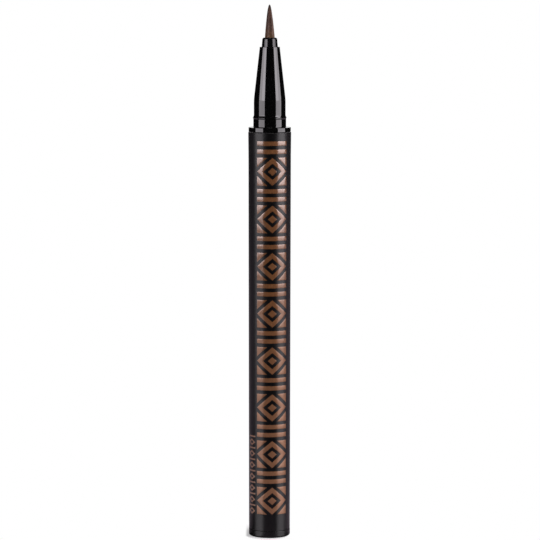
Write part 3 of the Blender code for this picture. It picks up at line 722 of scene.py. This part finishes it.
    # place, with the whole tuft leaning a little
    flat = addNode(tree, "ShaderNodeCombineXYZ", inputs={"X": parts["X"], "Y": parts["Y"]})
    gathered = addNode(tree, "ShaderNodeVectorMath", {"operation": "SCALE"}, {
        0: flat.outputs[0], "Scale": closing.outputs[0]})
    lift = addNode(tree, "ShaderNodeMath", {"operation": "MULTIPLY_ADD"}, {
        0: height.outputs[0], 1: given["Length"], 2: given["Base Height"]})
    bend = addNode(tree, "ShaderNodeMath", {"operation": "MULTIPLY"}, {
        0: height.outputs[0], 1: given["Lean"]})
    raised = addNode(tree, "ShaderNodeCombineXYZ", inputs={"X": bend.outputs[0], "Z": lift.outputs[0]})
    shaped = addNode(tree, "GeometryNodeSetPosition", inputs={
        "Geometry": thick.outputs[0], "Position": gathered.outputs[0], "Offset": raised.outputs[0]})
    ring = addNode(tree, "GeometryNodeCurvePrimitiveCircle", inputs={
        "Resolution": rule["sides"], "Radius": 1.0})
    width = addNode(tree, "GeometryNodeInputRadius").outputs[0]
    tubes = addNode(tree, "GeometryNodeCurveToMesh", inputs={
        "Curve": shaped.outputs[0], "Profile Curve": ring.outputs[0], "Scale": width, "Fill Caps": True})
    return endTree(tree, tubes.outputs[0], given["Finish"])


def makeBrush(finish):
    size = {"filaments": 620, "recess": 0.5, "filament": 0.046, "filament tip share": 0.6, "trim": 0.41,
            "pointedness": 0.52, "scatter": 0.013, "overshoot": 0.045, "splay": 0.03, "clump": 0.9,
            "lean": -0.07, "seed": 214, "flange height": 0.5, "flange rounding": 0.06,
            "root rounding": 0.05, "core reach": 1.4, "core end play": 0.1, "core point": 0.25,
            "core radius": 0.75, "segments": 64}
    low, high = cadBox("brush")
    rootRadius = high.x - brushFlangeWidth
    rootTop = cadBox("tip_holder")[1].z - size["recess"]
    values = {"Count": size["filaments"], "Seed": size["seed"],
              "Root Radius": (rootRadius - size["filament"] + size["splay"]) * mm,
              "Length": (high.z - rootTop + size["overshoot"]) * mm, "Base Height": rootTop * mm,
              "Filament Radius": size["filament"] * mm, "Filament Tip": size["filament tip share"],
              "Trim": size["trim"], "Pointedness": size["pointedness"], "Scatter": size["scatter"],
              "Clump Size": size["clump"] * mm, "Lean": size["lean"] * mm}
    tuft = grownPiece("brush_filaments", bpy.data.meshes.new("seed"), filamentTree(), values, finish)
    seatPiece(tuft, "brown_filament", "brush")
    flangeTop = low.z + size["flange height"]
    socketEnd = low.z + size["core reach"] + size["core end play"]
    corners = [
        (size["core radius"] + slip, low.z),
        (high.x, low.z, size["flange rounding"]),
        (high.x, flangeTop, size["flange rounding"]),
        (rootRadius, flangeTop),
        (rootRadius, rootTop, size["root rounding"]),
        (0, rootTop),
        (0, socketEnd),
        (size["core point"] + slip, socketEnd),
    ]
    root = turnedPiece("brush_root", corners, size["segments"], finish)
    seatPiece(root, "brown_filament")


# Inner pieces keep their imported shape

def dressInnerPieces():
    resin, rubber = naturalAcetal(), nitrileRubber()
    finishes = {"brush_retainer": resin, "collector": resin, "relay_core": fibreRod(),
                "section_seal_ring": rubber, "collector_seal_ring": rubber, "stirring_ball": lappedSteel()}
    for node, finish in finishes.items():
        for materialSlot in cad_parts[node].material_slots:
            materialSlot.material = finish
    print("inner pieces dressed:", len(finishes))


# Studio; bearings are degrees seen from the pen, counted from the camera's side

def addPanel(box, bearings, low, high, radiance):
    distance = box["distance m"]
    lamp = bpy.data.lights.new("soft_box", "AREA")
    lamp.shape = "RECTANGLE"
    lamp.size = 2 * distance * tan(radians(abs(bearings[1] - bearings[0]) / 2))
    lamp.size_y = high - low
    lamp.energy = radiance * pi * lamp.size * lamp.size_y
    lamp.color = box["colour"]
    panel = addObject("soft_box", lamp)
    angle = radians(sum(bearings) / 2)
    panel.location = (distance * sin(angle), -distance * cos(angle), (low + high) / 2)
    panel.rotation_euler = (pi / 2, 0, angle)


def makeLamps():
    # a tall soft box on each side mirrors as a stripe down the nose; it fades outwards and in its skirt
    box = {"distance m": 0.9, "colour": (1.0, 0.945, 0.995), "left edges": (-37, -60, -83),
           "right edges": (46, 68, 91), "skirt low m": 0.0, "low m": 0.14, "left high m": 0.42,
           "right high m": 0.9, "radiances": (6.4, 4.6), "left skirt radiance": 3.4,
           "right skirt radiance": 4.0}
    for side in ("left", "right"):
        inner, middle, outer = box[side + " edges"]
        for bearings, radiance in zip(((inner, middle), (middle, outer)), box["radiances"]):
            addPanel(box, bearings, box["low m"], box[side + " high m"], radiance)
        addPanel(box, (inner, outer), box["skirt low m"], box["low m"], box[side + " skirt radiance"])


def addFlag(name, sheet):
    # a sheet that only reflections see, swept from one bearing to the other
    start, end = (radians(bearing) for bearing in sheet["bearings"])
    shape = bmesh.new()
    points = [shape.verts.new((0, -radius, height)) for radius, height in sheet["profile"]]
    bmesh.ops.rotate(shape, verts=points, cent=(0, 0, 0), matrix=Matrix.Rotation(start, 3, "Z"))
    sides = [shape.edges.new(pair) for pair in zip(points, points[1:])]
    bmesh.ops.spin(shape, geom=points + sides, cent=(0, 0, 0), axis=(0, 0, 1), angle=end - start,
                   steps=sheet["steps"])
    mesh = meshFrom(shape, name)
    mesh.materials.append(finishMaterial(startMaterial(name)[0], {
        "Base Color": linearColour(sheet["colour"]), "Roughness": sheet["roughness"],
        "Specular IOR Level": sheet["specular"]}))
    flag = addObject(name, mesh)
    flag.visible_camera = False
    flag.visible_diffuse = False
    flag.visible_shadow = False


def makeFlags():
    # profiles are (radius, height) in metres; these sheets are painted reflections, seen only in mirrors,
    # neither lighting the pen nor taking part in its shadow: the acrylic mirrors the soft boxes' lower ends
    # into the barrel, a grey card lies under it and behind the pen, small cards by the foot and one on the
    # left trim what the barrel mirrors there, and velvet paints the gloss dark beside the boxes
    sheets = {
        "black_acrylic": {"profile": [(0.0048, 0.00005), (1.5, 0.00005)], "bearings": (-95, 84),
                          "colour": "#050505", "roughness": 0.03, "specular": 0.5},
        "grey_card": {"profile": [(0.0048, 0.00003), (0.85, 0.00003)], "bearings": (-180, 180),
                      "colour": "#c6b8c4"},
        "front_card": {"profile": [(0.0048, 0.00007), (0.06, 0.00007)], "bearings": (-30, 26),
                       "colour": "#a497a2"},
        # painted light: the back card is lighter than the grey card to make up for the pen's shadow that
        # falls on it
        "back_card": {"profile": [(0.0048, 0.00007), (0.06, 0.00007)], "bearings": (92, 258),
                      "colour": "#dccdda"},
        "left_card": {"profile": [(0.4, 0.00009), (0.8, 0.00009)], "bearings": (-75, -40),
                      "colour": "#4a474a"},
        "black_velvet": {"profile": [(0.85, 0.00003), (1.5, 0.00003), (1.5, 1.1), (0.25, 1.6)],
                         "bearings": (-168, 168), "colour": "#262426"},
    }
    for name, sheet in sheets.items():
        addFlag(name, {"roughness": 1.0, "specular": 0.0, "steps": 60} | sheet)


def seenDirectly(tree):
    # 1 for what the camera sees, by itself or in a mirror, and 0 for what only lights the pen
    rays = addNode(tree, "ShaderNodeLightPath")
    mirrored = addNode(tree, "ShaderNodeMath", {"operation": "MAXIMUM"}, {
        0: rays.outputs["Is Glossy Ray"], 1: rays.outputs["Is Transmission Ray"]})
    return addNode(tree, "ShaderNodeMath", {"operation": "MAXIMUM"}, {
        0: rays.outputs["Is Camera Ray"], 1: mirrored.outputs[0]}).outputs[0]


def makeFloor():
    # white paper: under the pen and close behind it shows the lamps' light and their shadow, with a glow
    # that grows away from the pen's axis, and elsewhere it is plain white; the low glow near the foot is
    # painted shade on top of the lamps' own shadow
    paper = {"half width m": 3, "white": "#ededed", "roughness": 0.8, "contact glow": 0.31,
             "far glow": 0.66, "contact m": 0.005, "far m": 0.017, "white from m": 0.0047,
             "all white m": 0.0054, "shadow side m": -0.0006, "shadow front m": -0.0014,
             "shadow back m": 0.011}
    shape = bmesh.new()
    bmesh.ops.create_grid(shape, x_segments=1, y_segments=1, size=paper["half width m"])
    floor = addObject("floor", meshFrom(shape, "floor"))
    material, tree, place = startMaterial("white_paper")
    sheet = addNode(tree, "ShaderNodeBsdfPrincipled", inputs={
        "Base Color": linearColour(paper["white"]), "Roughness": paper["roughness"],
        "Specular IOR Level": 0.0})
    seen = seenDirectly(tree)
    # painted shade: the zone is set a little left of the axis and runs back behind the pen, and the glow in
    # it is held low near the axis
    back = addNode(tree, "ShaderNodeSeparateXYZ", inputs={"Vector": place}).outputs["Y"]
    nearest = addNode(tree, "ShaderNodeClamp", inputs={
        "Value": back, "Min": paper["shadow front m"], "Max": paper["shadow back m"]})
    middle = addNode(tree, "ShaderNodeCombineXYZ", inputs={
        "X": paper["shadow side m"], "Y": nearest.outputs[0]})
    distance = addNode(tree, "ShaderNodeVectorMath", {"operation": "DISTANCE"}, {
        0: place, 1: middle.outputs[0]})
    fromAxis = addNode(tree, "ShaderNodeVectorMath", {"operation": "LENGTH"}, {0: place})
    glow = addNode(tree, "ShaderNodeMapRange", inputs={
        "Value": fromAxis.outputs["Value"], "From Min": paper["contact m"], "From Max": paper["far m"],
        "To Min": paper["contact glow"], "To Max": paper["far glow"]})
    strength = addNode(tree, "ShaderNodeMath", {"operation": "MULTIPLY"}, {
        0: seen, 1: glow.outputs["Result"]})
    light = addNode(tree, "ShaderNodeEmission", inputs={"Strength": strength.outputs[0]})
    lit = addNode(tree, "ShaderNodeAddShader", inputs={0: sheet.outputs[0], 1: light.outputs[0]})
    blend = addNode(tree, "ShaderNodeMapRange", {"interpolation_type": "SMOOTHSTEP"}, {
        "Value": distance.outputs["Value"], "From Min": paper["white from m"],
        "From Max": paper["all white m"]})
    share = addNode(tree, "ShaderNodeMath", {"operation": "MULTIPLY"}, {
        0: seen, 1: blend.outputs["Result"]})
    white = addNode(tree, "ShaderNodeEmission")
    total = addNode(tree, "ShaderNodeMixShader", inputs={
        0: share.outputs[0], 1: lit.outputs[0], 2: white.outputs[0]})
    addNode(tree, "ShaderNodeOutputMaterial", inputs={"Surface": total.outputs[0]})
    floor.data.materials.append(material)


def makeWorld():
    # white where it is seen or mirrored, and a low even fill everywhere else
    fill = 0.12
    world = bpy.data.worlds.new("studio")
    bpy.context.scene.world = world
    world.use_nodes = True
    tree = world.node_tree
    tree.nodes.clear()
    strength = addNode(tree, "ShaderNodeMapRange", inputs={
        "Value": seenDirectly(tree), "To Min": fill, "To Max": 1.0})
    sky = addNode(tree, "ShaderNodeBackground", inputs={
        "Color": (1, 1, 1, 1), "Strength": strength.outputs["Result"]})
    addNode(tree, "ShaderNodeOutputWorld", inputs={"Surface": sky.outputs[0]})
    bpy.context.scene.view_settings.view_transform = "Standard"


setCamera()
lacquer = softTouchLacquer()
makeBarrel(lacquer)
makeTailPlug(lacquer)
bandFoil = bronzeFoil("bronze_foil", {})
rowFoil = bronzeFoil("fine_bronze_foil", {"foot": "#a07c64", "foot coat": 0.9})  # paler still at the foot, which is painted light for this side of the pen, and fully coated
makeFoil(bandFoil, rowFoil)
makeNose(polishedAbs())
makeTipHolder(satinAbs())
makeBrush(drawnFilament())
dressInnerPieces()
makeLamps()
makeFlags()
makeFloor()
makeWorld()
print("studio ready")
